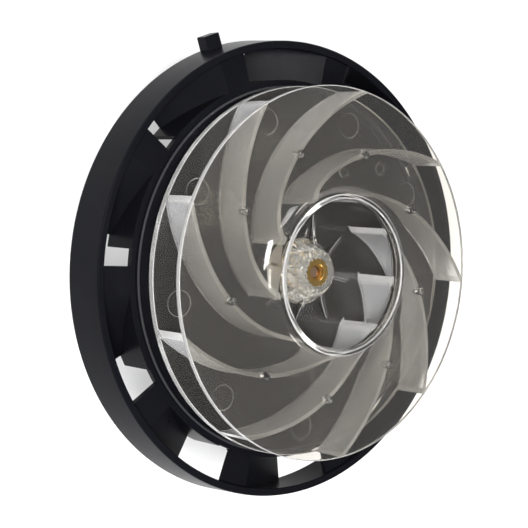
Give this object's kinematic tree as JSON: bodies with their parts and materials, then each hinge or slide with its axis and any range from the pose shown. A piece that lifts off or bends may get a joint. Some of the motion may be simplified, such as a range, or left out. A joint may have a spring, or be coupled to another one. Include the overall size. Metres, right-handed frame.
{
  "type": "vacuum motor unit",
  "caption": "Vacuum motor unit: black diffuser frame with sloping air passages, clear closed impeller with curved blades on the shaft, small electric motor behind.",
  "frame": {"origin": "centre of the flat rear face of the rubber mount, on the shaft's axis", "axes": "+Z along the shaft towards the impeller's eye; +Y up and +X right as seen from the inlet side with the locating tab at 110.5 degrees from +X"},
  "size_m": [0.1516, 0.1521, 0.078],
  "materials": {
    "black_plastic": "satin moulded",
    "black_rubber": "matt",
    "cast_aluminium": "as cast",
    "zinc_steel": "zinc plated",
    "lamination_steel": "stacked sheets",
    "white_nylon": "moulded",
    "copper_wire": "enamelled",
    "tinned_brass": "tinned",
    "bearing_steel": "ground",
    "cover_plastic": "satin moulded",
    "board_laminate": "lacquered",
    "chip_plastic": "moulded",
    "capacitor_sleeve": "shrunk sleeve",
    "magnet_grey": "sintered",
    "insert_brass": "knurled and turned",
    "clear_plastic": "clear, slightly frosted"
  },
  "bodies": {
    "housing": {"diffuser_frame": "black_plastic", "motor_gasket": "black_rubber", "front_bracket": "cast_aluminium", "bracket_screws": "zinc_steel", "motor_can": "zinc_steel", "stator_core": "lamination_steel", "front_insulator": "white_nylon", "rear_insulator": "white_nylon", "stator_coils": "copper_wire", "phase_pins": "tinned_brass", "front_bearing_outer_ring": "bearing_steel", "rear_bearing_outer_ring": "bearing_steel", "preload_washer": "bearing_steel", "rear_cover": "cover_plastic", "rear_rubber_mount": "black_rubber", "controller_board": "board_laminate", "board_spacers": "tinned_brass", "rear_cover_screws": "zinc_steel", "power_transistors": "chip_plastic", "control_chip": "chip_plastic", "smoothing_capacitors": "capacitor_sleeve", "shunt_resistors": "chip_plastic", "connector_housing": "white_nylon", "connector_pins": "tinned_brass"},
    "rotor": {"motor_shaft": "bearing_steel", "rotor_core": "lamination_steel", "rotor_magnets": "magnet_grey", "front_balance_disc": "insert_brass", "rear_balance_disc": "insert_brass", "front_bearing_inner_ring": "bearing_steel", "rear_bearing_inner_ring": "bearing_steel", "impeller_spacer": "insert_brass", "hub_insert": "insert_brass", "impeller_back_plate": "clear_plastic", "impeller_shroud": "clear_plastic"},
    "front_ball_set": {"front_bearing_balls": "bearing_steel", "front_bearing_cage": "white_nylon"},
    "rear_ball_set": {"rear_bearing_balls": "bearing_steel", "rear_bearing_cage": "white_nylon"}
  },
  "joints": [
    {"name": "rotor_spin", "type": "hinge", "parent": "housing", "child": "rotor", "pos_m": [0, 0, 0.0459], "axis": [0, 0, 1], "continuous": true},
    {"name": "front_balls_spin", "type": "hinge", "parent": "housing", "child": "front_ball_set", "pos_m": [0, 0, 0.0459], "axis": [0, 0, 1], "continuous": true},
    {"name": "rear_balls_spin", "type": "hinge", "parent": "housing", "child": "rear_ball_set", "pos_m": [0, 0, 0.0207], "axis": [0, 0, 1], "continuous": true}
  ],
  "couplings": [
    {"joint": "front_balls_spin", "follows": "rotor_spin", "ratio": 0.3762},
    {"joint": "rear_balls_spin", "follows": "rotor_spin", "ratio": 0.3762}
  ]
}
